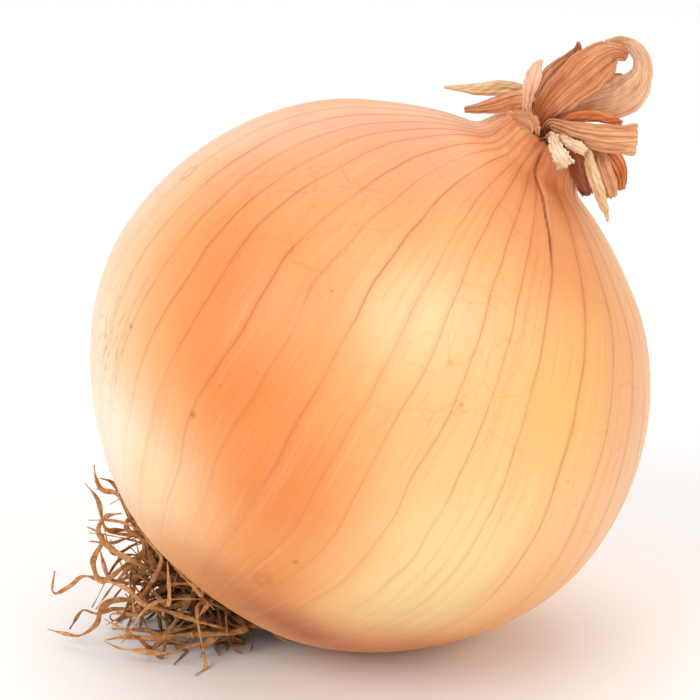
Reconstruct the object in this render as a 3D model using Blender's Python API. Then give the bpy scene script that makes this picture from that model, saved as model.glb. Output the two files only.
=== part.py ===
"""A large yellow onion lying on its side: the bulb, the dry leaves of its neck and the tuft of roots.

Lengths are in millimetres until a mesh is made. The origin is the middle of the small flat spot
that the bulb rests on, +Z is up, and the neck leans towards +X.
"""

import math

import bmesh
import bpy
import numpy as np
from mathutils import Matrix, Vector
from mathutils.geometry import interpolate_bezier

MM = 0.001

# The bulb, a turned shape whose axis runs from the root plate up to the neck.
LEAN = math.radians(35.0)
BULB_CENTRE = Vector((-3.7, 0.0, 39.2))
EQUATOR_RADIUS = 43.0
NECK_TOP = 46.0
ROOT_PLATE = -38.7
TURN_STEPS = 40
ARC_STEPS = 8

# Its outline: (height along the axis from the equator, radius) of a knot, two handles and a knot.
OUTLINE = (
    ((ROOT_PLATE, 0.0), (ROOT_PLATE, 4.2), (-35.7, 14.7), (-34.6, 19.0)),
    ((-34.6, 19.0), (-32.8, 25.8), (-17.6, EQUATOR_RADIUS), (0.3, EQUATOR_RADIUS)),
    ((0.3, EQUATOR_RADIUS), (17.5, EQUATOR_RADIUS), (29.8, 33.2), (34.6, 25.3)),
    ((34.6, 25.3), (44.9, 8.4), (38.4, 10.3), (NECK_TOP, 6.9)),
)

# The dry leaves. Each row is a place along a leaf's middle: x, y, z from the neck's mouth,
# the leaf's width there, and how far it is turned about its own length, in degrees.
NECK_MOUTH = 47.0
LEAF_THICKNESS = 0.4
LEAF_ROWS = 12
LEAF_COLUMNS = 4
FRONT = (0.0, -1.0, 0.0)
LEAVES = {
    "broad_leaf": (
        (-1.1, -2.2, 1.7, 3.0, 0), (-0.1, -3.4, 3.9, 4.5, 0), (1.6, -4.4, 6.1, 5.5, 0),
        (3.6, -4.9, 8.1, 6.0, 0), (5.7, -4.9, 10.0, 6.0, 0), (7.7, -4.5, 11.4, 5.0, 0),
        (9.3, -4.1, 11.9, 2.7, 0), (10.7, -3.8, 11.4, 1.1, 0),
    ),
    "shadow_leaf": (
        (-1.3, -0.6, 2.3, 2.1, 0), (-0.8, -0.6, 4.9, 3.3, 0), (0.4, -0.4, 7.2, 3.9, 0),
        (1.9, -0.2, 9.0, 3.6, 0), (3.3, -0.2, 10.6, 2.5, 0), (4.1, -0.4, 12.1, 1.2, 0),
        (4.1, -0.4, 13.1, 0.3, 0),
    ),
    "curled_leaf": (
        (1.7, -1.2, 1.8, 2.1, 0), (4.0, -1.2, 3.2, 3.6, 0), (7.0, -1.4, 4.1, 4.8, 0),
        (10.0, -1.8, 5.1, 5.7, 0), (12.1, -2.2, 6.9, 4.8, 0), (13.2, -2.4, 9.2, 3.0, 0),
        (12.9, -2.4, 11.2, 2.4, 0), (11.8, -2.2, 12.6, 1.9, 0), (10.0, -1.6, 13.4, 1.3, 0),
        (8.0, -1.0, 13.0, 0.8, 0),
    ),
    "inner_leaf": (
        (1.4, 1.6, 1.6, 2.1, 0), (4.1, 1.8, 3.4, 3.0, 0), (6.9, 2.0, 5.1, 3.6, 0),
        (9.5, 2.0, 6.7, 3.0, 0), (11.7, 2.0, 7.7, 1.3, 0),
    ),
    "cut_leaf": (
        (-0.1, -4.6, 1.8, 1.5, 0), (1.6, -5.6, 1.5, 2.2, 0), (3.8, -6.2, 0.7, 3.3, 0),
        (7.0, -6.4, 0.2, 4.0, 0), (9.9, -6.2, -0.1, 4.3, 0), (12.4, -5.8, -0.2, 4.5, 0),
    ),
    "folded_leaf": (
        (1.2, -4.6, 2.1, 1.0, 0), (2.6, -4.9, 2.8, 1.3, 0), (4.4, -4.8, 3.1, 1.4, 0),
        (6.7, -4.5, 3.0, 1.5, 0), (9.0, -4.2, 2.4, 1.2, 0), (10.5, -4.0, 1.9, 0.6, 0),
    ),
    "hanging_leaf": (
        (6.8, -3.4, -2.6, 2.2, 0), (7.4, -3.4, -4.0, 2.8, 0), (8.1, -3.3, -5.8, 3.1, 0),
        (8.9, -3.2, -7.8, 2.8, 0), (9.3, -3.1, -9.5, 1.7, 0),
    ),
    "side_leaf": (
        (6.3, -0.8, -1.5, 1.8, 0), (8.4, -0.6, -3.0, 3.0, 0), (9.8, -0.6, -4.8, 3.6, 0),
        (10.7, -0.8, -6.7, 2.4, 0), (11.1, -1.2, -8.6, 0.9, 0),
    ),
    "brown_leaf": (
        (3.6, -7.0, -0.8, 2.0, 0), (3.9, -6.5, -2.6, 2.6, 0), (4.5, -5.6, -4.8, 2.8, 0),
        (5.2, -4.8, -7.0, 2.4, 0), (5.9, -4.2, -8.8, 1.4, 0),
    ),
    "long_tip": (
        (-2.7, 2.2, 4.8, 1.1, 0), (-4.2, 2.4, 5.8, 1.8, 0), (-6.8, 2.0, 6.1, 2.1, 0),
        (-9.8, 1.5, 6.0, 1.8, 0), (-12.4, 1.1, 6.2, 1.1, 0), (-15.1, 0.8, 6.4, 0.3, 0),
    ),
    "pale_strip": (
        (-3.4, -6.0, 3.7, 1.2, 0), (-3.6, -6.8, 5.4, 1.3, 0), (-3.5, -7.6, 7.1, 1.9, 0),
        (-3.0, -8.2, 8.9, 2.2, 0), (-2.6, -8.2, 10.3, 1.8, 0), (-1.8, -7.8, 11.5, 0.4, 0),
    ),
    "left_sheath": (
        (-12.1, -1.0, 3.4, 0.8, 0), (-10.1, -2.2, 3.8, 1.5, 0), (-7.9, -3.2, 4.4, 2.2, 0),
        (-5.7, -4.2, 5.2, 2.7, 0), (-3.8, -5.0, 5.7, 2.4, 0), (-2.5, -5.2, 6.3, 1.2, 0),
    ),
    "torn_flake": (
        (-5.5, -8.0, 3.8, 1.2, 0), (-4.5, -8.6, 3.3, 2.1, 0), (-3.3, -9.0, 2.8, 2.5, 0),
        (-2.9, -9.3, 1.6, 1.8, 0), (-2.8, -9.6, 0.5, 1.1, 0),
    ),
    "cream_flake": (
        (-0.1, -8.4, 0.8, 1.1, 0), (0.2, -9.4, -0.4, 1.8, 0), (1.1, -10.0, -2.0, 2.2, 0),
        (2.1, -10.2, -3.6, 2.7, 0),
    ),
    "cream_shred": (
        (1.1, -7.6, 0.4, 0.9, 0), (2.2, -8.6, -0.1, 1.3, 0), (3.4, -9.0, -0.6, 1.6, 0),
        (4.9, -9.4, -1.4, 1.3, 0),
    ),
    "dangling_strip": (
        (4.8, -8.0, -1.6, 1.2, 0), (5.5, -8.2, -3.4, 1.5, 0), (6.2, -8.0, -5.5, 1.8, 0),
        (7.1, -7.4, -7.7, 1.6, 0), (7.8, -6.8, -9.7, 1.2, 0), (8.3, -6.2, -10.9, 0.6, 0),
        (8.6, -6.0, -12.0, 0.4, 0),
    ),
    "rear_leaf": (
        (0.4, 3.2, 1.2, 3.5, 0), (1.2, 5.0, 3.2, 5, 0), (2.8, 7.2, 5.0, 6, 0),
        (5.0, 9.4, 6.0, 5, 0), (7.2, 11.0, 5.8, 2, 0),
    ),
    "rear_sheath": (
        (-2.8, 5.6, 2.2, 3, 0), (-3.4, 7.6, 3.4, 4, 0), (-4.2, 9.4, 4.0, 3.4, 0),
        (-5.2, 10.8, 3.8, 1.5, 0),
    ),
}
LEAF_FACING = {"rear_leaf": (-0.5, 0.6, 0.62), "rear_sheath": (-0.5, 0.6, 0.62)}
LEAF_COLOURS = {
    "broad_leaf": (0.45, 0.15, 0.05), "shadow_leaf": (0.20, 0.07, 0.02),
    "curled_leaf": (0.75, 0.42, 0.22), "inner_leaf": (0.50, 0.22, 0.08),
    "cut_leaf": (0.55, 0.23, 0.10), "folded_leaf": (0.42, 0.11, 0.02),
    "hanging_leaf": (0.50, 0.18, 0.07), "side_leaf": (0.45, 0.16, 0.05),
    "brown_leaf": (0.20, 0.05, 0.02), "long_tip": (0.72, 0.45, 0.22),
    "pale_strip": (0.80, 0.45, 0.33), "left_sheath": (0.55, 0.22, 0.10),
    "torn_flake": (0.65, 0.35, 0.16), "cream_flake": (0.85, 0.62, 0.42),
    "cream_shred": (0.85, 0.62, 0.42), "dangling_strip": (0.60, 0.33, 0.14),
    "rear_leaf": (0.48, 0.18, 0.07), "rear_sheath": (0.55, 0.24, 0.10),
}

# The roots that stand out of the tuft: where each leaves the plate's rim, in degrees about the
# axis, and the places that it passes through: x, y, z.
LONG_ROOTS = (
    (-158, (-36.3, -4.0, 8.3), (-42.8, -7.0, 10.1), (-46.0, -8.0, 11.1), (-47.9, -9.0, 9.9),
     (-50.5, -9.0, 8.8), (-50.1, -9.0, 12.4)),
    (-134, (-36.2, -6.0, 6.8), (-41.3, -8.0, 7.2), (-43.2, -9.0, 6.3), (-44.0, -10.0, 4.1),
     (-46.4, -10.0, 2.3), (-48.5, -9.0, 2.0), (-51.8, -8.0, 2.4)),
    (-172, (-38.3, -1.0, 3.8), (-42.5, -3.0, 3.5), (-44.7, -4.0, 3.2), (-46.8, -4.0, 3.8),
     (-48.1, -4.0, 2.1), (-49.0, -4.0, 0.6)),
    (172, (-36.8, 2.0, 12.2), (-38.9, 1.0, 15.4), (-40.6, 0.0, 19.9), (-41.7, 0.0, 21.6),
     (-43.7, 0.0, 22.1), (-44.6, 0.0, 24.0), (-44.8, 0.0, 26.1)),
    (155, (-38.0, 6.0, 11.9), (-41.1, 5.0, 19.0), (-42.7, 4.0, 21.9), (-44.4, 3.0, 22.9)),
    (-56, (-24.1, -8.0, 4.7), (-22.8, -11.0, 4.1), (-19.8, -12.0, 4.5), (-17.7, -13.0, 4.5),
     (-16.3, -14.0, 3.8), (-14.7, -14.0, 3.0)),
    (-70, (-22.9, -10.0, 5.3), (-21.1, -13.0, 4.7), (-24.8, -14.0, 4.3), (-30.5, -14.0, 4.0),
     (-34.9, -14.0, 3.5), (-39.0, -13.0, 3.4), (-42.2, -13.0, 2.9)),
    (-84, (-24.8, -12.0, 4.5), (-26.9, -15.0, 3.6), (-30.4, -16.0, 3.0), (-32.4, -17.0, 2.6),
     (-36.9, -16.0, 2.5), (-40.0, -15.0, 2.5), (-42.4, -14.0, 3.2)),
    (-42, (-22.7, -12.0, 4.2), (-27.5, -15.0, 6.7), (-32.5, -14.0, 7.9), (-36.3, -13.0, 8.7),
     (-38.9, -12.0, 10.7), (-42.4, -11.0, 11.8)),
    (-146, (-37.3, -8.0, 14.2), (-42.6, -10.0, 11.2), (-44.1, -10.0, 13.6), (-43.9, -9.0, 15.0),
     (-42.6, -8.0, 17.1), (-43.5, -8.0, 18.3), (-45.1, -8.0, 19.1)),
    (-120, (-34.2, -9.0, 12.2), (-39.2, -11.0, 15.5), (-42.1, -11.0, 17.7), (-43.0, -11.0, 19.8),
     (-42.1, -9.0, 21.1), (-40.0, -7.0, 20.9)),
)
SHORT_ROOTS = 29
ROOT_SEED = 9
ROOT_RADIUS = 0.32
ROOT_TIP_RADIUS = 0.16
ROOT_STEP = 0.8
ROOT_CLEARANCE = 0.45
RING_OF_ROOTS = 9.0
SPREAD_PASSES = 220
SKIPPED_POINTS = 2

# How far a short root's places lie from its start, and how far it swerves between them, in degrees.
FIRST_REACH = 5.0
LAST_REACH = (15.0, 25.0)
REACH_STEP = 3.6
SWERVE = 20.0

ROOT_COLOUR = (0.36, 0.15, 0.05)
BULB_COLOUR = (0.94, 0.50, 0.20)

GOLDEN_TURN = math.pi * (3.0 - math.sqrt(5.0))
GOLDEN_SHARE = 0.618034

AXIS = np.array((math.sin(LEAN), 0.0, math.cos(LEAN)))
DOWNHILL = np.array((math.cos(LEAN), 0.0, -math.sin(LEAN)))
SIDEWAYS = np.array((0.0, 1.0, 0.0))


def clear_scene():
    for old in list(bpy.data.objects):
        bpy.data.objects.remove(old, do_unlink=True)


def material(name, colour, roughness):
    made = bpy.data.materials.new(name)
    made.use_nodes = True
    shader = made.node_tree.nodes["Principled BSDF"]
    shader.inputs["Base Color"].default_value = (*colour, 1.0)
    shader.inputs["Roughness"].default_value = roughness
    shader.inputs["Metallic"].default_value = 0.0
    made.diffuse_color = (*colour, 1.0)
    return made


def add_object(name, data, colour, roughness):
    data.materials.append(material(name, colour, roughness))
    made = bpy.data.objects.new(name, data)
    bpy.context.scene.collection.objects.link(made)
    return made


def outline_points(steps):
    """The bulb's outline from the root plate's middle to the neck's rim, as (height, radius) rows."""
    points = []
    for knot, handle, next_handle, next_knot in OUTLINE:
        arc = interpolate_bezier(*(Vector(p) for p in (knot, handle, next_handle, next_knot)), steps)
        points += [(p.x, p.y) for p in arc[:-1]]
    points.append(OUTLINE[-1][-1])
    return np.array(points)


def bulb():
    """The outline turned about the axis, leant over, and cut flat where it rests."""
    form = bmesh.new()
    rim = [form.verts.new((radius, 0.0, height)) for height, radius in outline_points(ARC_STEPS)]
    edges = [form.edges.new(pair) for pair in zip(rim, rim[1:])]
    form.edges.new((rim[-1], form.verts.new((0.0, 0.0, NECK_TOP))))
    bmesh.ops.spin(
        form, geom=rim + list(form.edges), cent=(0, 0, 0), axis=(0, 0, 1),
        angle=math.tau, steps=TURN_STEPS, use_merge=True,
    )
    bmesh.ops.remove_doubles(form, verts=form.verts, dist=0.01)
    place = Matrix.Translation(BULB_CENTRE) @ Matrix.Rotation(LEAN, 4, "Y")
    bmesh.ops.transform(form, matrix=place, verts=form.verts)
    cut = bmesh.ops.bisect_plane(
        form, geom=list(form.verts) + list(form.edges) + list(form.faces),
        plane_co=(0, 0, 0), plane_no=(0, 0, -1), clear_outer=True,
    )
    sole = [item for item in cut["geom_cut"] if isinstance(item, bmesh.types.BMEdge)]
    bmesh.ops.contextual_create(form, geom=sole)
    bmesh.ops.scale(form, vec=(MM, MM, MM), verts=form.verts)
    bmesh.ops.recalc_face_normals(form, faces=form.faces)
    data = bpy.data.meshes.new("bulb")
    form.to_mesh(data)
    form.free()
    data.shade_smooth()
    data.set_sharp_from_angle(angle=math.radians(40))
    return add_object("bulb", data, BULB_COLOUR, 0.35)


def curve_through(rows, count):
    """A smooth curve through the rows, read at count even steps between the first and the last."""
    rows = np.array(rows, float)
    padded = np.concatenate([2 * rows[:1] - rows[1:2], rows, 2 * rows[-1:] - rows[-2:-1]])
    at = np.linspace(0, len(rows) - 1, count)
    index = np.minimum(at.astype(int), len(rows) - 2)
    t = (at - index)[:, None]
    before, start, end, after = (padded[index + k] for k in range(4))
    bend = 2 * before - 5 * start + 4 * end - after
    turn = -before + 3 * start - 3 * end + after
    return 0.5 * (2 * start + (end - before) * t + bend * t**2 + turn * t**3)


def unit(rows):
    return rows / np.linalg.norm(rows, axis=-1, keepdims=True)


def leaf_surface(stations, facing):
    """Rows of points across a dry leaf, arched a little about its middle."""
    along = curve_through(stations, LEAF_ROWS + 1)
    mouth = np.array(BULB_CENTRE) + AXIS * NECK_MOUTH
    middle = along[:, :3] + mouth
    forward = unit(np.gradient(middle, axis=0))
    side = unit(np.cross(forward, facing))
    face = np.cross(side, forward)
    roll = np.radians(along[:, 4:5])
    across = side * np.cos(roll) + face * np.sin(roll)
    out = np.cross(across, forward)
    half = along[:, 3:4] / 2
    rows = []
    for u in np.linspace(-1, 1, LEAF_COLUMNS + 1):
        rows.append(middle + across * half * u + out * half * 0.3 * (1 - u * u))
    return np.stack(rows, axis=1)


def leaf(name, stations):
    """A leaf as a thin closed ribbon: a grid laid on its surface and given its thickness."""
    surface = leaf_surface(stations, LEAF_FACING.get(name, FRONT)) * MM
    form = bmesh.new()
    rows = [[form.verts.new(point) for point in row] for row in surface]
    for row, after in zip(rows, rows[1:]):
        for k in range(LEAF_COLUMNS):
            form.faces.new((row[k], row[k + 1], after[k + 1], after[k]))
    data = bpy.data.meshes.new(name)
    form.to_mesh(data)
    form.free()
    data.shade_smooth()
    made = add_object(name, data, LEAF_COLOURS[name], 0.6)
    wall = made.modifiers.new("Thickness", "SOLIDIFY")
    wall.thickness = LEAF_THICKNESS * MM
    wall.offset = 0.0
    return made


def plate_place(share, turn):
    """Where a root leaves the plate: share runs from the plate's middle to its rim."""
    radius = RING_OF_ROOTS * math.sqrt(share)
    height = ROOT_PLATE - 0.5 + 1.5 * share
    flat = DOWNHILL * math.cos(turn) + SIDEWAYS * math.sin(turn)
    return np.array(BULB_CENTRE) + AXIS * height + flat * radius


def even_steps(points):
    """The same curve with a point every ROOT_STEP."""
    lengths = np.concatenate([[0], np.cumsum(np.linalg.norm(np.diff(points, axis=0), axis=1))])
    count = int(round(lengths[-1] / ROOT_STEP)) + 1
    at = np.linspace(0, lengths[-1], count)
    return np.stack([np.interp(at, lengths, points[:, k]) for k in range(3)], axis=1)


def long_root(turn, *places):
    """A root that leaves the plate's rim and passes through all its places."""
    start = plate_place(1.0, math.radians(turn))
    return even_steps(curve_through([start, start - AXIS * 1.5, *places], 200))


def short_root(index, chance):
    """A root that wanders from the plate through the tuft, which spreads over the ground."""
    start = plate_place((index + 0.5) / (SHORT_ROOTS + 6), math.pi + index * GOLDEN_TURN)
    turned = math.radians(-120 + 185 * ((index * GOLDEN_SHARE) % 1.0))
    rise = math.radians(chance.uniform(-14.0, 50.0)) * max(0.3, math.cos(turned))
    places = [start, start - AXIS * 2.0]
    for reach in np.arange(FIRST_REACH, chance.uniform(*LAST_REACH), REACH_STEP):
        turned += math.radians(chance.normal(0.0, SWERVE))
        rise += math.radians(chance.normal(0.0, SWERVE * 0.8))
        level = np.array((-math.cos(turned), math.sin(turned), 0.0)) * math.cos(rise)
        places.append(start + reach * (level + np.array((0.0, 0.0, math.sin(rise)))))
    return even_steps(curve_through(places, 160))


def root_radii(count):
    return np.linspace(ROOT_RADIUS, ROOT_TIP_RADIUS, count)


def off_the_bulb(points, room):
    """How far each point has to move to stand clear of the bulb."""
    from_centre = points - np.array(BULB_CENTRE)
    height = from_centre @ AXIS
    outward = from_centre - height[:, None] * AXIS
    radius = np.linalg.norm(outward, axis=1)
    outline = outline_points(24)
    gap = np.stack([height, radius], axis=1)[:, None] - outline[None]
    nearest = np.argmin((gap**2).sum(axis=2), axis=1)
    slope = unit(np.gradient(outline, axis=0))[nearest]
    normal = np.stack([-slope[:, 1], slope[:, 0]], axis=1)
    short = room - (gap[np.arange(len(points)), nearest] * normal).sum(axis=1)
    lift = np.clip(short, 0, None)[:, None] * normal
    return lift[:, :1] * AXIS + lift[:, 1:] * outward / np.maximum(radius, 1e-6)[:, None]


def smoothed(moves, owner):
    """Moves averaged with their neighbours' along the same root, so that a push bends a root gently."""
    kept = moves.copy()
    same = (owner[:-2] == owner[1:-1]) & (owner[1:-1] == owner[2:])
    mean = 0.25 * moves[:-2] + 0.5 * moves[1:-1] + 0.25 * moves[2:]
    kept[1:-1][same] = mean[same]
    return kept


def spread_apart(routes):
    """The roots moved off each other, off the bulb and up off the ground, a little at a time."""
    at_rest = np.concatenate(routes)
    owner = np.repeat(np.arange(len(routes)), [len(route) for route in routes])
    order = np.concatenate([np.arange(len(route)) for route in routes])
    radius = np.concatenate([root_radii(len(route)) for route in routes])
    need = radius[:, None] + radius[None] + ROOT_CLEARANCE
    apart = (owner[:, None] != owner[None]) | (np.abs(order[:, None] - order[None]) > 4)
    apart &= np.arange(len(owner))[:, None] < np.arange(len(owner))[None]
    free = np.clip((order - 1) / 4, 0, 1)[:, None]
    moves = np.zeros_like(at_rest)
    for _ in range(SPREAD_PASSES):
        points = at_rest + moves
        square = (points**2).sum(axis=1)
        distance = square[:, None] + square[None] - 2 * points @ points.T
        first, second = np.nonzero(apart & (distance < need**2))
        gap = points[first] - points[second]
        length = np.maximum(np.linalg.norm(gap, axis=1, keepdims=True), 1e-6)
        push = 0.3 * (need[first, second][:, None] - length) * gap / length
        np.add.at(moves, first, push * free[first])
        np.add.at(moves, second, -push * free[second])
        moves += off_the_bulb(at_rest + moves, radius + ROOT_CLEARANCE) * free
        moves = smoothed(moves, owner)
        sunk = np.clip(radius + 0.02 - (at_rest + moves)[:, 2], 0, None)
        moves[:, 2] += sunk
    points = at_rest + moves
    return [points[owner == k] for k in range(len(routes))]


def root_routes():
    chance = np.random.default_rng(ROOT_SEED)
    routes = [long_root(*stations) for stations in LONG_ROOTS]
    routes += [short_root(index, chance) for index in range(SHORT_ROOTS)]
    return spread_apart(routes)


def root(name, route):
    """A root as a tapering tube along its route, closed at both ends."""
    radii = root_radii(len(route)) / ROOT_RADIUS
    kept = list(range(0, len(route) - 1, SKIPPED_POINTS)) + [len(route) - 1]
    data = bpy.data.curves.new(name, "CURVE")
    data.dimensions = "3D"
    line = data.splines.new("POLY")
    line.points.add(len(kept) - 1)
    for point, index in zip(line.points, kept):
        point.co = (*(route[index] * MM), 1.0)
        point.radius = radii[index]
    data.bevel_depth = ROOT_RADIUS * MM
    data.bevel_resolution = 0
    data.use_fill_caps = True
    return add_object(name, data, ROOT_COLOUR, 0.8)


def build():
    clear_scene()
    bulb()
    for name, stations in LEAVES.items():
        leaf(name, stations)
    for number, route in enumerate(root_routes(), start=1):
        root(f"root_{number:02d}", route)


build()
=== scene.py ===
# %% [markdown]
# # A yellow onion lying on its side
#
# The onion rests on a small flat spot of its bulb. Its neck of dry leaves leans to the right and its
# tuft of dry roots lies on the ground to the left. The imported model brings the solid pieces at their
# real size. This script gives them their looks: the thin veined skin, the ribbed papery leaves and
# the fibrous roots. Every place is in millimetres until a mesh is made, so MM turns it into metres.

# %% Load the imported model
import math

import bpy
import numpy as np
from mathutils import Matrix, Vector


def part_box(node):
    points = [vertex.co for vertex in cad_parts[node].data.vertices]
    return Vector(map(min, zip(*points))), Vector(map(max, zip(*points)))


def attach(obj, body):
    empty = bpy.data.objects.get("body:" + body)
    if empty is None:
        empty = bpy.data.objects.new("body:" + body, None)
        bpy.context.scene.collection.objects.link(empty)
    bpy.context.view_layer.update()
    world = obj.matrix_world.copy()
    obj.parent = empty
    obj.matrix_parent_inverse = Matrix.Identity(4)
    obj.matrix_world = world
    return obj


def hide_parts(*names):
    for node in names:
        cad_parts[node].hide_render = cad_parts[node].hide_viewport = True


MM = 0.001
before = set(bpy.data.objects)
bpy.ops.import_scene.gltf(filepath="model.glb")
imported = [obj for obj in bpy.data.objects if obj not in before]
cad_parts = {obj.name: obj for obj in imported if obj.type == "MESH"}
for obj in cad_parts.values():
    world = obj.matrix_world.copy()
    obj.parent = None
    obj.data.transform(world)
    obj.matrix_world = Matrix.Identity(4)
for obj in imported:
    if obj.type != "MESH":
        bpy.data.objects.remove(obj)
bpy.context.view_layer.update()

# %% [markdown]
# ## Where the bulb is
#
# The bulb is a turned shape, so an axis describes it: it runs from the root plate up to the neck and
# leans 35 degrees. Skin, veins and folds all follow that axis. A place on the skin is therefore given
# as a turn about the axis, in degrees from the side that faces the camera, and a height along it.

# %% The bulb's own frame
LEAN = math.radians(35.0)
BULB_CENTRE = np.array((-3.7, 0.0, 39.2))
EQUATOR_RADIUS = 43.0
NECK_TOP = 46.0
ROOT_PLATE = -38.7
AXIS = np.array((math.sin(LEAN), 0.0, math.cos(LEAN)))
DOWNHILL = np.array((math.cos(LEAN), 0.0, -math.sin(LEAN)))
SIDEWAYS = np.array((0.0, 1.0, 0.0))

bulb_low, bulb_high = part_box("bulb")
print("bulb across, mm:", round((bulb_high.y - bulb_low.y) / MM, 2), "stated:", 2 * EQUATOR_RADIUS)

# %% [markdown]
# ## Camera, floor and light
#
# A long lens from a little above keeps the round bulb from bulging. The floor and the world are almost
# white and large soft panels light the onion from both sides, so shadows stay faint and the colours of
# the skin do the work. Filmic tone curves grey a white floor, so the plain one is chosen.

# %% Camera
LOOK_DOWN = math.radians(16.0)
CAMERA_DISTANCE = 294.8
LENS = 100.0

forward = np.array((0.0, math.cos(LOOK_DOWN), -math.sin(LOOK_DOWN)))
upward = np.array((0.0, math.sin(LOOK_DOWN), math.cos(LOOK_DOWN)))
aim = BULB_CENTRE + np.array((-1.82, 0.0, 0.0)) + upward * 5.1

bpy.ops.object.camera_add(location=(aim - forward * CAMERA_DISTANCE) * MM)
camera = bpy.context.object
camera.rotation_euler = (math.pi / 2 - LOOK_DOWN, 0.0, 0.0)
camera.data.lens = LENS
camera.data.clip_start = 0.01
bpy.context.scene.camera = camera
bpy.context.scene.view_settings.view_transform = "Standard"
print("camera at", [round(c, 3) for c in camera.location])

# %% Floor
bpy.ops.mesh.primitive_plane_add(size=6.0, location=(0.0, 0.0, -0.00002))
floor = bpy.context.object
floor.name = "floor"
floor_paint = bpy.data.materials.new("floor_paint")
floor_paint.use_nodes = True
floor_paint.node_tree.nodes["Principled BSDF"].inputs["Base Color"].default_value = (0.93, 0.93, 0.93, 1)
floor_paint.node_tree.nodes["Principled BSDF"].inputs["Roughness"].default_value = 0.9
floor.data.materials.append(floor_paint)

# %% Light
world = bpy.data.worlds.new("white_room")
bpy.context.scene.world = world
world.use_nodes = True
world.node_tree.nodes["Background"].inputs["Color"].default_value = (1.0, 1.0, 1.0, 1)
world.node_tree.nodes["Background"].inputs["Strength"].default_value = 0.56


def light_panel(name, place, size, watts):
    """A square soft light that faces the bulb."""
    bpy.ops.object.light_add(type="AREA", location=place)
    panel = bpy.context.object
    panel.name = name
    panel.data.size = size
    panel.data.energy = watts
    towards = Vector(BULB_CENTRE * MM) - Vector(place)
    panel.rotation_euler = towards.to_track_quat("-Z", "Y").to_euler()
    return panel


light_panel("left_panel", (-0.75, -0.80, 0.85), 0.8, 7.2)
light_panel("right_panel", (0.90, -0.60, 0.55), 0.7, 3.9)
light_panel("top_panel", (0.0, 1.8, 2.8), 3.4, 56.0)

# %% [markdown]
# ## Writing a finish as arithmetic
#
# A skin's colour is a sum of many faint things: veins, patches, streaks and specks. Written out node by
# node it can't be read. So a small class wraps a node's output and lets Python's operators add the
# nodes, and a finish becomes a few lines of arithmetic on fields that vary over the surface.

# %% Fields and finishes
class Field:
    """The output of a shader node, as a number, colour or vector that varies over the surface."""

    def __init__(self, finish, socket):
        self.finish = finish
        self.socket = socket

    def math(self, operation, *others):
        return self.finish.math(operation, self, *others)

    def __add__(self, other):
        return self.math("ADD", other)

    def __sub__(self, other):
        return self.math("SUBTRACT", other)

    def __rsub__(self, other):
        return self.finish.math("SUBTRACT", other, self)

    def __mul__(self, other):
        return self.math("MULTIPLY", other)

    def __truediv__(self, other):
        return self.math("DIVIDE", other)

    def __neg__(self):
        return self.math("MULTIPLY", -1.0)

    __radd__ = __add__
    __rmul__ = __mul__


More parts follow.
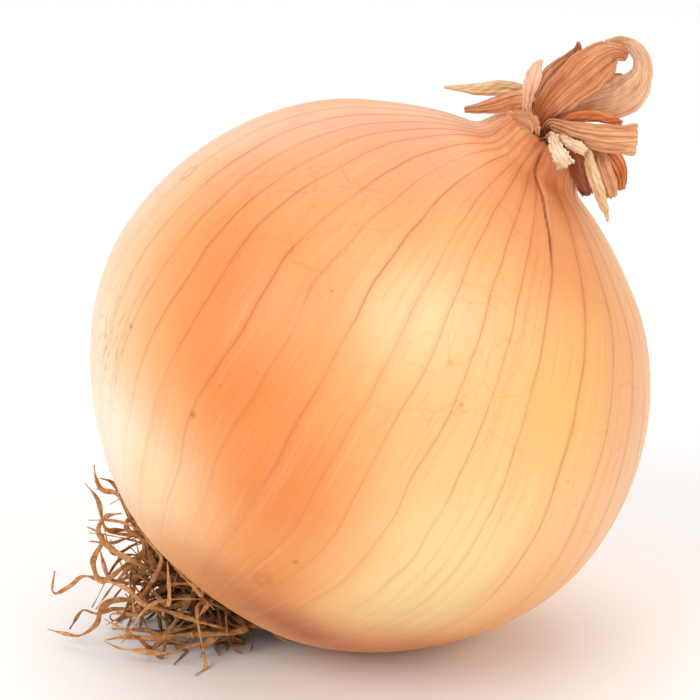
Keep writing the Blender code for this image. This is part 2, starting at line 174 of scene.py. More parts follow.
class Finish:
    """A material: its nodes, and the fields that its pattern is made of."""

    def __init__(self, name, roughness=0.5, **constants):
        self.material = bpy.data.materials.new(name)
        self.material.use_nodes = True
        self.tree = self.material.node_tree
        self.shader = self.tree.nodes["Principled BSDF"]
        self.shader.inputs["Roughness"].default_value = roughness
        for socket, value in constants.items():
            self.shader.inputs[socket.replace("_", " ")].default_value = value

    def node(self, kind, settings=None, inputs=None, output=0):
        """Adds a node with its settings first, then the values or links of its sockets."""
        made = self.tree.nodes.new(kind)
        for key, value in (settings or {}).items():
            if key == "stops":
                self.set_stops(made.color_ramp, value)
            elif key == "curve":
                self.set_curve(made.mapping, value)
            else:
                setattr(made, key, value)
        for key, value in (inputs or {}).items():
            self.feed(made.inputs[key], value)
        return Field(self, made.outputs[output])

    def feed(self, socket, value):
        if isinstance(value, Field):
            self.tree.links.new(value.socket, socket)
        else:
            socket.default_value = value

    @staticmethod
    def set_stops(ramp, stops):
        while len(ramp.elements) < len(stops):
            ramp.elements.new(0.5)
        for element, (position, tint) in zip(ramp.elements, stops):
            element.position = position
            element.color = tint

    @staticmethod
    def set_curve(mapping, places):
        points = mapping.curves[0].points
        for x, y in places[1:-1]:
            points.new(x, y)
        points[0].location = places[0]
        points[-1].location = places[-1]
        for point in points:
            point.handle_type = "VECTOR"
        mapping.update()

    def math(self, operation, *values):
        return self.node("ShaderNodeMath", {"operation": operation}, dict(enumerate(values)))

    def vector(self, x, y, z):
        return self.node("ShaderNodeCombineXYZ", None, {0: x, 1: y, 2: z})

    def noise(self, at, scale=1.0, detail=2.0, roughness=0.5):
        """A smooth random field from 0 to 1, in cells of 1 / scale."""
        sockets = {"Vector": at, "Scale": scale, "Detail": detail, "Roughness": roughness}
        return self.node("ShaderNodeTexNoise", None, sockets)

    def cells(self, at, scale, feature="F1"):
        """Distance to the middle, or to the edge, of scattered cells that are 1 / scale apart."""
        return self.node("ShaderNodeTexVoronoi", {"feature": feature}, {"Vector": at, "Scale": scale})

    def rise(self, field, start, end):
        """0 below start, 1 above end, and smooth between. With start above end it falls."""
        sockets = {"Value": field, "From Min": start, "From Max": end}
        return self.node("ShaderNodeMapRange", {"interpolation_type": "SMOOTHSTEP"}, sockets)

    def bell(self, *reaches):
        """1 where every field is 0, falling smoothly away. Each field is already in units of its reach."""
        total = reaches[0] * reaches[0]
        for reach in reaches[1:]:
            total = self.math("MULTIPLY_ADD", reach, reach, total)
        return self.math("EXPONENT", -total)

    def blend(self, first, second, share, mode="MIX"):
        """Two colours mixed: share of the second."""
        kind = {"data_type": "RGBA", "blend_type": mode}
        return self.node("ShaderNodeMix", kind, {0: share, 6: first, 7: second}, output=2)

    def tones(self, field, *stops):
        """Colours that follow a field, through pairs of a value and a colour."""
        return self.node("ShaderNodeValToRGB", {"stops": stops}, {"Fac": field})

    def bump(self, height, depth):
        """A surface that stands out by depth millimetres where height is 1."""
        sockets = {"Height": height, "Distance": depth * MM, "Strength": 1.0}
        return self.node("ShaderNodeBump", None, sockets)

    def surface(self, socket, value):
        self.feed(self.shader.inputs[socket], value)


def colour(red, green, blue):
    """A colour as seen on a screen, from 0 to 255, made linear for the shader."""
    channels = [channel / 255 for channel in (red, green, blue)]
    linear = [c / 12.92 if c <= 0.04045 else ((c + 0.055) / 1.055) ** 2.4 for c in channels]
    return (*linear, 1.0)


# %% [markdown]
# ## The bulb
#
# A real bulb is not quite smooth: the skin gathers into folds where it closes at the neck, and one dry
# layer has cracked there and lifted. A plain sphere can't show that. So the outline is drawn as a curve
# with the same knots as the solid, spun about the axis, and its points are then moved along the skin's
# normal by a few named reliefs.

# %% Draw the outline and spin it
OUTLINE = (
    ((ROOT_PLATE, 0.0), (ROOT_PLATE, 4.2)),
    ((-35.7, 14.7), (-34.6, 19.0), (-32.8, 25.8)),
    ((-17.6, EQUATOR_RADIUS), (0.3, EQUATOR_RADIUS), (17.5, EQUATOR_RADIUS)),
    ((29.8, 33.2), (34.6, 25.3), (44.9, 8.4)),
    ((38.4, 10.3), (NECK_TOP, 6.9)),
)
OUTLINE_STEPS = 56
TURN_STEPS = 384


def deselect_all():
    bpy.ops.object.select_all(action="DESELECT")


def make_active(piece):
    deselect_all()
    piece.select_set(True)
    bpy.context.view_layer.objects.active = piece


def on_outline(height, radius):
    return (radius, 0.0, height)


deselect_all()
bpy.ops.curve.primitive_bezier_curve_add()
bulb_skin = bpy.context.object
bulb_skin.name = "bulb_skin"
line = bulb_skin.data.splines[0]
line.bezier_points.add(len(OUTLINE) - 2)
bulb_skin.data.resolution_u = OUTLINE_STEPS
knots = [OUTLINE[0][:1] * 2 + OUTLINE[0][1:], *OUTLINE[1:-1], OUTLINE[-1] + OUTLINE[-1][1:]]
for point, (before, place, after) in zip(line.bezier_points, knots):
    point.handle_left_type = point.handle_right_type = "FREE"
    point.handle_left = on_outline(*before)
    point.co = on_outline(*place)
    point.handle_right = on_outline(*after)
bpy.ops.object.convert(target="MESH")
bulb_skin = bpy.context.object

bpy.ops.object.mode_set(mode="EDIT")
bpy.ops.mesh.select_all(action="SELECT")
bpy.ops.mesh.spin(steps=TURN_STEPS, angle=math.tau, center=(0, 0, 0), axis=(0, 0, 1))
bpy.ops.mesh.select_all(action="SELECT")
bpy.ops.mesh.remove_doubles(threshold=0.001)
bpy.ops.mesh.select_all(action="DESELECT")
# The outline ends in an open ring at the neck, which a face closes, with two smaller rings inside it.
bpy.ops.mesh.select_mode(type="EDGE")
bpy.ops.mesh.select_non_manifold()
bpy.ops.mesh.edge_face_add()
bpy.ops.mesh.inset(thickness=2.0)
bpy.ops.mesh.inset(thickness=3.0)
bpy.ops.mesh.select_all(action="SELECT")
bpy.ops.mesh.normals_make_consistent(inside=False)
bpy.ops.object.mode_set(mode="OBJECT")
print("bulb mesh:", len(bulb_skin.data.vertices), "points", bulb_skin.dimensions)

# %% [markdown]
# The folds gather towards the neck, the crack runs down from it, and the skin to its right stands up
# like a lid. Low on the bulb the skin wears a small scar. All of these are heights in millimetres that
# fade out, so they add up without seams. The crack is a list of heights along the axis and turns.

# %% Fold, crack and dent the skin
CRACK = ((46.0, -2.0), (44.0, 0.0), (42.0, 3.0), (40.5, 10.0), (37.0, 15.0), (33.0, 17.0))
LID_LIFT, LID_WIDTH = 0.45, 2.2
GROOVE_DEPTH, GROOVE_WIDTH = 0.30, 0.22
SCAR = (-2.0, -22.5)
FOLD_DEPTH = 0.24
FOLDS_BEGIN, FOLDS_DEEPEST = 37.5, 45.5


def positions(piece):
    flat = np.empty(len(piece.data.vertices) * 3)
    piece.data.vertices.foreach_get("co", flat)
    return flat.reshape(-1, 3)


def move_to(piece, points):
    piece.data.vertices.foreach_set("co", np.ascontiguousarray(points).ravel())
    piece.data.update()


def ramp(values, start, end):
    share = np.clip((values - start) / (end - start), 0, 1)
    return share * share * (3 - 2 * share)


def round_skin(turn, start, radius):
    """The way round the skin in mm from one turn to another, at a distance from the axis."""
    return (turn - start) * (math.pi / 180) * radius


def skin_relief(turn, height, radius):
    """How far the skin stands out at a turn in degrees and a height in mm."""
    angle = np.radians(turn)
    warped = angle + 0.12 * np.sin(3 * angle + 1) + 0.07 * np.sin(7 * angle + 2 + 0.1 * height)
    folds = 0.5 * np.cos(17 * warped) + 0.3 * np.cos(29 * warped + 1) + 0.2 * np.cos(43 * warped + 4)
    folds *= FOLD_DEPTH * ramp(height, FOLDS_BEGIN, FOLDS_DEEPEST)
    swell = 0.16 * np.sin(2 * angle + 0.7) + 0.10 * np.sin(5 * angle + 0.03 * height)
    swell *= ramp(np.abs(height), 44, 20)

    heights, turns = zip(*sorted(CRACK))
    beside = round_skin(turn, np.interp(height, heights, turns), radius)
    groove = GROOVE_DEPTH * np.exp(-((beside / GROOVE_WIDTH) ** 2))
    lid = LID_LIFT * np.exp(-np.clip(beside, 0, None) / LID_WIDTH) * (beside > 0)
    lid *= np.exp(-(((height - 41) / 5) ** 2))
    crack = (lid - groove) * ramp(height, 33.0, 36.0) * ramp(height, 46.5, 44.0)

    across = round_skin(turn, SCAR[0], radius)
    along = height - SCAR[1]
    dent = ((along + 0.5 * across) / 0.22) ** 2 + (across / 1.6) ** 2
    scar = 0.22 * np.exp(-((across / 1.95) ** 2) - (along / 1.5) ** 2) - 0.25 * np.exp(-dent)
    rough_plate = 0.25 * np.sin(9 * angle + height * 3) * np.sin(radius * 2.1) * ramp(height, -36.0, -38.2)
    return folds + swell + crack + scar + rough_plate


points = positions(bulb_skin)
normals = np.array([vertex.normal for vertex in bulb_skin.data.vertices])
turn = np.degrees(np.arctan2(points[:, 0], -points[:, 1]))
radius = np.hypot(points[:, 0], points[:, 1])
relief = skin_relief(turn, points[:, 2], radius) * ramp(radius, 0.5, 3.0)
points = points + normals * relief[:, None]
turned = points @ np.array(Matrix.Rotation(LEAN, 3, "Y")).T
placed = turned + BULB_CENTRE
placed[:, 2] = np.maximum(placed[:, 2], 0.0)
move_to(bulb_skin, placed * MM)
make_active(bulb_skin)
bpy.ops.object.shade_smooth()
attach(bulb_skin, "root")
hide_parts("bulb")
print("relief from", round(relief.min(), 2), "to", round(relief.max(), 2), "mm")

# %% [markdown]
# ### The skin's colours and veins
#
# Dry onion skin is one thin translucent layer: gold where it lies on pale flesh, deep orange where
# layers of skin overlap, pink where it is bruised. Forty or so veins run from the roots to the neck,
# each at its own turn, so a curve maps the turn to a count of veins passed, and each vein lies halfway
# between two whole numbers on that scale. That keeps each vein where it belongs and closes the pattern
# round the bulb. The fine streaks follow the same bent turns, so they run beside the veins.

# %% Fields of the skin
VEINS_IN_FRONT = (-84, -74, -65, -57, -50, -43, -33, -25, -16, -7, 0, 8, 15, 24, 37, 49, 60, 70, 80)
VEINS = 41
skin = Finish("onion_skin", roughness=0.4, Specular_IOR_Level=0.45)

here = skin.node("ShaderNodeTexCoord", output=3)
lean_back = {"Vector": here, "Location": BULB_CENTRE * MM, "Rotation": (0, LEAN, 0), "Scale": (MM, MM, MM)}
local = skin.node("ShaderNodeMapping", {"vector_type": "TEXTURE"}, lean_back)
apart = skin.node("ShaderNodeSeparateXYZ", None, {0: local}).socket.node
right, back, height = (Field(skin, apart.outputs[k]) for k in range(3))
turn_field = skin.math("ARCTAN2", right, -back) * (180 / math.pi)
distance_out = skin.math("SQRT", right * right + back * back)
print("skin has", len(skin.tree.nodes), "nodes so far")

# %% Veins
MEAN_SPACING = math.tau / VEINS
CORE_WIDTH, HALO_WIDTH, SECOND_WIDTH = 0.14, 0.6, 0.1


def vein_curve():
    """Share of a turn, from behind, against the count of veins passed, as a share of all of them."""
    first, last = VEINS_IN_FRONT[0], VEINS_IN_FRONT[-1]
    unseen = VEINS - len(VEINS_IN_FRONT)
    gap = (360 - last + first) / (unseen + 1)
    turns = list(VEINS_IN_FRONT)
    turns += [last + gap * (k + 1) + 1.6 * math.sin(5.3 * k) for k in range(unseen)]
    shares = sorted(((t + 180) / 360) % 1.0 for t in turns)
    return [(0.0, 0.0)] + [(s, (k + 0.5) / VEINS) for k, s in enumerate(shares)] + [(1.0, 1.0)]


twist = height * 0.14 + height * height * 0.0025
wander = skin.noise(local, 0.045, 0.0) * 4.0 + skin.noise(local, 0.16, 0.0) * 1.1 - 2.55
share_of_turn = ((turn_field + twist + wander) / 360 + 0.5).math("FRACT")
passed = skin.node("ShaderNodeFloatCurve", {"curve": vein_curve()}, {1: share_of_turn}) * VEINS
luck = skin.node("ShaderNodeTexWhiteNoise", {"noise_dimensions": "1D"}, {"W": passed.math("FLOOR")})
off_vein = (passed.math("FRACT") - 0.5) * distance_out * MEAN_SPACING
broken = skin.noise(local, 0.09, 2.0)
reach_up = skin.rise(height, -28.0, 24.0)
whole = skin.rise(broken, 0.26, 0.50) * 0.65 + 0.35
vein_strength = (luck * 0.45 + 0.55) * whole * (reach_up * 0.75 + 0.25)
vein_core = skin.bell(off_vein / CORE_WIDTH) * vein_strength
vein_halo = skin.bell(off_vein / HALO_WIDTH) * vein_strength

between_veins = ((passed + wander * 0.04) * 3.0).math("FRACT") - 0.5
off_second = between_veins * distance_out * (MEAN_SPACING / 3)
second_luck = skin.rise(skin.noise(local, 0.14, 2.0), 0.48, 0.62)
second_vein = skin.bell(off_second / SECOND_WIDTH) * second_luck * (reach_up * 0.7 + 0.3)

long_way = skin.vector(right, back, height * 0.55)
wobble = skin.noise(local, 0.3, 2.0)
shift = skin.vector(wobble * 3, wobble * -3, wobble * 2)
net_at = skin.node("ShaderNodeVectorMath", {"operation": "ADD"}, {0: long_way, 1: shift})
net_edge = skin.cells(net_at, 0.17, "DISTANCE_TO_EDGE")
net_where = skin.rise(skin.noise(local, 0.06, 1.0), 0.42, 0.58) * skin.rise(height, -8.0, 14.0)
net = skin.rise(net_edge, 0.03, 0.0) * net_where
print("veins in front:", len(VEINS_IN_FRONT), "of", VEINS)

# %% Patches of colour, with painted shade and a painted highlight
GOLD = colour(254, 186, 118)
# Each patch is a turn, a height, its reach in degrees and in mm, its colour and its strength.
COLOUR_SHADE_AND_HIGHLIGHT_PATCHES = (
    (-44, 9, 17, 13, (240, 138, 64), 0.90),
    (-27, 0, 15, 12, (236, 130, 52), 0.90),
    (-10, -9, 16, 13, (234, 128, 52), 0.95),
    (-2, -20, 13, 8, (234, 138, 62), 0.80),
    (-58, 26, 24, 16, (243, 148, 88), 0.85),
    (-75, 30, 17, 9, (238, 164, 124), 0.85),
    (-88, 4, 15, 24, (255, 222, 192), 0.85),
    (-52, -21, 22, 8, (250, 238, 210), 0.90),
    (-68, -24, 20, 9, (252, 240, 216), 0.85),
    (-72, -10, 15, 12, (252, 226, 190), 0.80),
    # This pale patch is partly paler skin and partly a painted highlight, where the soft light falls
    # brightest on the bulb.
    (-10, 21, 13, 7, (255, 218, 164), 0.90),
    (-28, 12, 10, 8, (244, 150, 76), 0.55),
    (24, -3, 15, 16, (248, 222, 156), 0.90),
    (30, -13, 17, 9, (248, 218, 152), 0.90),
    (-10, 38, 22, 4, (240, 150, 92), 0.75),
    (24, 36, 26, 6, (240, 142, 76), 0.85),
    (20, 43, 34, 4, (196, 92, 40), 0.90),
    (62, 14, 15, 24, (236, 186, 136), 0.90),
    (50, 28, 20, 10, (240, 160, 98), 0.70),
    (-34, 33, 22, 9, (246, 158, 98), 0.80),
    (-95, 40, 45, 5, (240, 188, 152), 0.80),
    (-56, 36, 20, 5, (240, 144, 90), 0.75),
    (-40, -22, 9, 5, (246, 204, 140), 0.60),
    (29, 22, 14, 9, (255, 190, 100), 0.70),
    (50, -10, 12, 13, (238, 172, 106), 0.80),
    # The last three patches are painted shade: a dark band along the bottom of the bulb, where it turns
    # under towards the floor.
    (14, -28.5, 34, 5.0, (172, 76, 10), 0.92),
    (48, -23, 20, 7, (200, 110, 40), 0.88),
    (-16, -31, 20, 4, (212, 130, 60), 0.55),
)


def skin_bell(place, high, reach, tall):
    """1 at a turn and height on the skin, falling away over its reach in degrees and in mm."""
    return skin.bell((turn_field - place) / reach, (height - high) / tall)


mottle = skin.noise(long_way, 0.045, 3.0, 0.55)
MOTTLES = (
    (0.30, colour(240, 146, 80)),
    (0.45, GOLD),
    (0.62, colour(248, 216, 152)),
    (0.75, colour(250, 184, 140)),
)
mottled = skin.tones(mottle, *MOTTLES)
round_the_back = skin.rise(turn_field.math("ABSOLUTE"), 78.0, 112.0)
base = skin.blend(GOLD, mottled, round_the_back * 0.85 + 0.15)
cloudy = skin.noise(local, 0.1, 3.0) * 0.6 + 0.7
for place, high, reach, tall, tint, strength in COLOUR_SHADE_AND_HIGHLIGHT_PATCHES:
    cover = (skin_bell(place, high, reach, tall) * cloudy * strength).math("MINIMUM", 1.0)
    base = skin.blend(base, colour(*tint), cover)
print("patches:", len(COLOUR_SHADE_AND_HIGHLIGHT_PATCHES))

# %% Streaks, veins and specks
STREAKS_ACROSS = 52.0
BANDS_ACROSS = 15.0
vein_angle = share_of_turn * math.tau
cosine, sine = vein_angle.math("COSINE"), vein_angle.math("SINE")
streak_at = skin.vector(cosine * STREAKS_ACROSS, sine * STREAKS_ACROSS, height * 0.05)
band_at = skin.vector(cosine * BANDS_ACROSS, sine * BANDS_ACROSS, height * 0.03)
streaks = skin.noise(streak_at, 1.0, 2.0, 0.5)
bands = skin.noise(band_at, 1.0, 2.0)
base = skin.blend(base, colour(214, 140, 84), skin.rise(streaks, 0.50, 0.85) * 0.24)
base = skin.blend(base, colour(255, 226, 176), skin.rise(streaks, 0.48, 0.15) * 0.14)
base = skin.blend(base, colour(236, 150, 92), skin.rise(bands, 0.52, 0.80) * 0.28)

VEIN_SHADE = (0.56, 0.27, 0.15, 1.0)
base = skin.blend(base, VEIN_SHADE, vein_halo * 0.20, "MULTIPLY")
base = skin.blend(base, VEIN_SHADE, vein_core * 0.52, "MULTIPLY")
base = skin.blend(base, VEIN_SHADE, second_vein * 0.20, "MULTIPLY")
base = skin.blend(base, VEIN_SHADE, net * 0.16, "MULTIPLY")

speck_cells = skin.cells(local, 0.22)
speck = skin.rise(speck_cells, 0.075, 0.03) * skin.rise(skin.noise(local, 0.16, 1.0), 0.56, 0.66)
base = skin.blend(base, colour(214, 122, 50), speck * 0.7)
grain_at = skin.vector(right * 1.3, back * 1.3, height * 0.5)
grey_patch = skin_bell(-62, -11, 11, 7) * skin.rise(skin.noise(grain_at, 1.0, 3.0), 0.50, 0.68)
base = skin.blend(base, colour(176, 160, 112), grey_patch * 0.6)

# %% Marks
# Each mark is a turn, a height, the width of its line, the radius of its ring, its colour and strength.
MARKS = (
    (-32.4, -7.7, 0.5, 0.0, (196, 110, 50), 0.8),
    (-78.0, 13.6, 0.35, 1.2, (226, 150, 118), 0.55),
    (-79.0, 29.5, 0.35, 0.8, (226, 150, 118), 0.45),
    (-56.0, -5.7, 0.3, 0.0, (110, 84, 50), 0.7),
    (-70.0, -9.5, 0.3, 0.0, (130, 104, 66), 0.6),
    (1.0, 18.5, 0.45, 0.0, (236, 160, 80), 0.7),
    (7.0, 15.0, 0.35, 0.0, (226, 130, 66), 0.7),
    (0.2, -16.2, 0.3, 0.0, (206, 106, 44), 0.8),
    (-30.6, -2.0, 0.3, 0.0, (214, 124, 60), 0.7),
    (SCAR[0], SCAR[1], 0.6, 1.0, (206, 112, 44), 0.35),
)
for place, high, width, ring, tint, strength in MARKS:
    across = round_skin(turn_field, place, distance_out)
    along = height - high
    far = skin.math("SQRT", skin.math("MULTIPLY_ADD", across, across, along * along))
    base = skin.blend(base, colour(*tint), skin.bell((far - ring) / width) * strength)

CRACK_SPAN = (33.0, 46.0)
CRACK_TURNS = (-10.0, 20.0)


def crack_curve():
    low, high = CRACK_SPAN
    left, right_most = CRACK_TURNS
    return [((z - low) / (high - low), (t - left) / (right_most - left)) for z, t in sorted(CRACK)]


crack_share = (height - CRACK_SPAN[0]) / (CRACK_SPAN[1] - CRACK_SPAN[0])
turn_share = skin.node("ShaderNodeFloatCurve", {"curve": crack_curve()}, {1: crack_share})
crack_turn = turn_share * (CRACK_TURNS[1] - CRACK_TURNS[0]) + CRACK_TURNS[0]
beside_crack = round_skin(turn_field, crack_turn, distance_out)
crack_here = skin.rise(height, 33.5, 36.0)
base = skin.blend(base, colour(240, 150, 96), skin.bell((beside_crack - 1.1) / 1.1) * crack_here * 0.55)
# A thin dark line down the crack: partly the tear's own dark and partly painted shadow under the lifted
# lid.
base = skin.blend(base, colour(140, 62, 26), skin.bell(beside_crack / 0.2) * crack_here * 0.85)

# %% Neck and root ends
fold_shade = skin.noise(skin.vector(right * 0.9, back * 0.9, height * 0.08), 1.0, 3.0, 0.6)
near_neck = skin.rise(height, 40.5, 46.0)
# Painted shade darkens the mouth of the neck, where the leaves go in.
neck_mouth_shade = skin.rise(distance_out, 6.4, 4.0) * skin.rise(height, 40.0, 44.0)
base = skin.blend(base, colour(214, 124, 70), near_neck * skin.rise(fold_shade, 0.3, 0.7))
base = skin.blend(base, colour(158, 88, 50), neck_mouth_shade)
base = skin.blend(base, colour(196, 140, 78), skin.rise(height, -32.5, -36.0) * 0.8)
# The darkest band at the end is partly the root plate's own brown and partly painted shade in its hollow.
base = skin.blend(base, colour(88, 50, 24), skin.rise(height, -35.6, -37.6))
skin.surface("Base Color", base)
skin.surface("Roughness", streaks * 0.16 + 0.34)
relief_height = streaks * 0.5 - vein_core * 0.5 + skin.noise(local, 0.5, 3.0) * 0.35
skin.surface("Normal", skin.bump(relief_height, 0.06))
bulb_skin.data.materials.clear()
bulb_skin.data.materials.append(skin.material)
print("skin nodes:", len(skin.tree.nodes))

# %% [markdown]
# ## The dry leaves of the neck
#
# Each leaf is the dried end of one layer: a stiff ribbed paper strip that curls, folds and tears across
# its end. A grid is laid along a smooth middle line, arched and ribbed across, its end torn by pulling
# the last points back unevenly, and then given the thickness of paper. Modelling one strip well in a
# function and calling it for each leaf keeps their differences in a short list of places.

# %% Curves through places
def curve_through(rows, at):
    """A smooth curve through the rows, read where at runs from 0 at the first to 1 at the last."""
    rows = np.array(rows, float)
    padded = np.concatenate([2 * rows[:1] - rows[1:2], rows, 2 * rows[-1:] - rows[-2:-1]])
    at = np.clip(at, 0, 1) * (len(rows) - 1)
    index = np.minimum(at.astype(int), len(rows) - 2)
    t = (at - index)[:, None]
    before, start, end, after = (padded[index + k] for k in range(4))
    bend = 2 * before - 5 * start + 4 * end - after
    swing = -before + 3 * start - 3 * end + after
    return 0.5 * (2 * start + (end - before) * t + bend * t**2 + swing * t**3)


def unit(rows):
    return rows / np.linalg.norm(rows, axis=-1, keepdims=True)


def wavering(at, seed, *rates):
    """A gentle random wave with no sudden steps, from about -1 to 1."""
    chance = np.random.default_rng(seed)
    total = sum(np.sin(rate * at + chance.uniform(0, math.tau)) for rate in rates)
    return total / len(rates)


# %% One leaf
NECK_MOUTH = BULB_CENTRE + AXIS * 47.0
FRONT = (0.0, -1.0, 0.0)
# Where the leaves meet, deep in the neck, from its mouth.
NECK_HEART = (-0.6, 0.0, -1.4)
PAPER = 0.16
LEAF_ROWS = 64
LEAF_COLUMNS = 26
UV_SPAN = 20.0


def dry_leaf(name, stations, seed, facing=FRONT, arch=0.35, rib=0.10, torn=0.0, ruffle=0.12, ragged=0.02,
             rooted=True):
    """A ribbed paper strip along its stations, each x, y, z from the neck's mouth and a width in mm."""
    deselect_all()
    bpy.ops.mesh.primitive_grid_add(x_subdivisions=LEAF_COLUMNS, y_subdivisions=LEAF_ROWS, size=2.0)
    strip = bpy.context.object
    strip.name = name
    flat = positions(strip)
    buried = 0.4 * np.array(stations[0][:3]) + 0.6 * np.array(NECK_HEART)
    if rooted:
        stations = [(*buried, 0.8 * stations[0][3]), *stations]
    u, v = flat[:, 0], (flat[:, 1] + 1) / 2
    length = np.linalg.norm(np.diff(np.array(stations)[:, :3], axis=0), axis=1).sum()
    notch = 0.5 + 0.5 * wavering(u, seed, 5.0, 11.0, 23.0, 37.0)
    v = v * (1 - notch * torn / length * ramp(v, 0.3, 1.0))
    middle = curve_through(stations, v)
    ahead = curve_through(stations, np.clip(v + 0.01, 0, 1.0))[:, :3]
    behind = curve_through(stations, np.clip(v - 0.01, 0, 1.0))[:, :3]
    onward = unit(ahead - behind)
    side = unit(np.cross(onward, np.array(facing)))
    out = np.cross(side, onward)
    along = v * length
    edge = 1 + 0.06 * wavering(along, seed + 1, 0.7, 1.6)
    edge += ragged * wavering(along, seed + 2, 3.1, 7.0, 13.0)
    half = middle[:, 3] / 2 * np.where(np.abs(u) > 0.5, edge, 1.0)
    fan = u * np.array(stations)[:, 3].max() / 2
    ribs = np.sin(fan * 5.2 + 0.5 * wavering(along, seed + 3, 0.5)) + 0.7 * np.sin(fan * 9.7 + seed)
    lift = half * arch * (1 - u * u) + rib * ribs * ramp(v, 0.0, 0.15)
    lift += ruffle * half * u * wavering(along, seed + 4, 0.5, 1.3)
    lift += 0.12 * wavering(along + u * 2, seed + 5, 1.1, 3.1)
    placed = middle[:, :3] + side * (half * u)[:, None] + out * lift[:, None] + NECK_MOUTH
    move_to(strip, placed * MM)
    loops = np.array([loop.vertex_index for loop in strip.data.loops])
    paper_map = np.stack([fan + seed, along], axis=1)[loops] / UV_SPAN
    strip.data.uv_layers[0].data.foreach_set("uv", paper_map.ravel())
    make_active(strip)
    wall = strip.modifiers.new("Paper", "SOLIDIFY")
    wall.thickness = PAPER * MM
    wall.offset = 0.0
    bpy.ops.object.modifier_apply(modifier=wall.name)
    bpy.ops.object.shade_smooth()
    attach(strip, "root")
    return strip


# %% [markdown]
# Dry leaf is ribbed along its length: dark lines where the veins ran, pale where the paper is thin and
# scuffed. The pattern reads the strip's own map, measured in real millimetres, so that ribs are as wide
# on a small flake as on a broad leaf and bend with it.

# %% Finish of dry leaf
def leaf_finish(name, light, middle, dark):
    """Dry paper in three tones, with painted shade that darkens the foot of the leaf, where it lies deep
    in the neck.
    """
    paper = Finish(name, roughness=0.62, Specular_IOR_Level=0.3)
    uv = paper.node("ShaderNodeTexCoord", output=2)
    halves = paper.node("ShaderNodeSeparateXYZ", None, {0: uv}).socket.node
    across = Field(paper, halves.outputs[0]) * UV_SPAN
    along = Field(paper, halves.outputs[1]) * UV_SPAN
    ribs = paper.noise(paper.vector(across * 1.9, along * 0.10, 0.0), 1.0, 3.0, 0.6)
    fibres = paper.noise(paper.vector(across * 7.0, along * 0.5, 3.0), 1.0, 2.0, 0.6)
    clouds = paper.noise(paper.vector(across * 0.3, along * 0.22, 7.0), 1.0, 3.0, 0.55)
    shade = ribs * 0.55 + clouds * 0.45
    tone = paper.tones(shade, (0.34, dark), (0.48, middle), (0.66, light))
    rib_drift = paper.noise(paper.vector(across * 0.5, along * 0.12, 5.0), 1.0, 1.0)
    off_rib = (across * 1.35 + rib_drift * 1.6).math("FRACT") - 0.5
    rib_line = paper.bell(off_rib / 0.10) * paper.rise(clouds, 0.30, 0.52)
    tone = paper.blend(tone, dark, rib_line * 0.60)
    tone = paper.blend(tone, dark, paper.rise(fibres, 0.55, 0.8) * 0.35)
    tone = paper.blend(tone, light, paper.rise(fibres, 0.45, 0.2) * 0.35)
    # Painted shade: the foot of the leaf, deep in the neck, is darkened.
    tone = paper.blend(tone, dark, paper.rise(along, 7.5, 1.5) * 0.45)
    paper.surface("Base Color", tone)
    paper.surface("Normal", paper.bump(ribs * 0.8 + fibres * 0.4 - rib_line * 0.4, 0.14))
    return paper.material


LEAF_TONES = {
    "rust": ((240, 176, 128), (216, 138, 90), (160, 88, 50)),
    "ribbed": ((248, 196, 152), (230, 164, 118), (174, 104, 62)),
    "dark": ((226, 166, 120), (196, 126, 84), (128, 68, 40)),
    "brown": ((202, 134, 100), (162, 94, 64), (104, 50, 32)),
    "tan": ((250, 212, 174), (238, 184, 142), (198, 132, 88)),
    "straw": ((250, 222, 182), (240, 202, 152), (206, 154, 104)),
    "cream": ((255, 238, 212), (246, 216, 180), (216, 168, 122)),
    "rosy": ((255, 226, 204), (248, 200, 168), (214, 146, 106)),
    "orange": ((236, 152, 98), (216, 120, 64), (150, 72, 34)),
}
LEAF_FINISHES = {
    name: leaf_finish(f"{name}_leaf", *(colour(*tone) for tone in tones))
    for name, tones in LEAF_TONES.items()
}
print("leaf finishes:", ", ".join(LEAF_FINISHES))

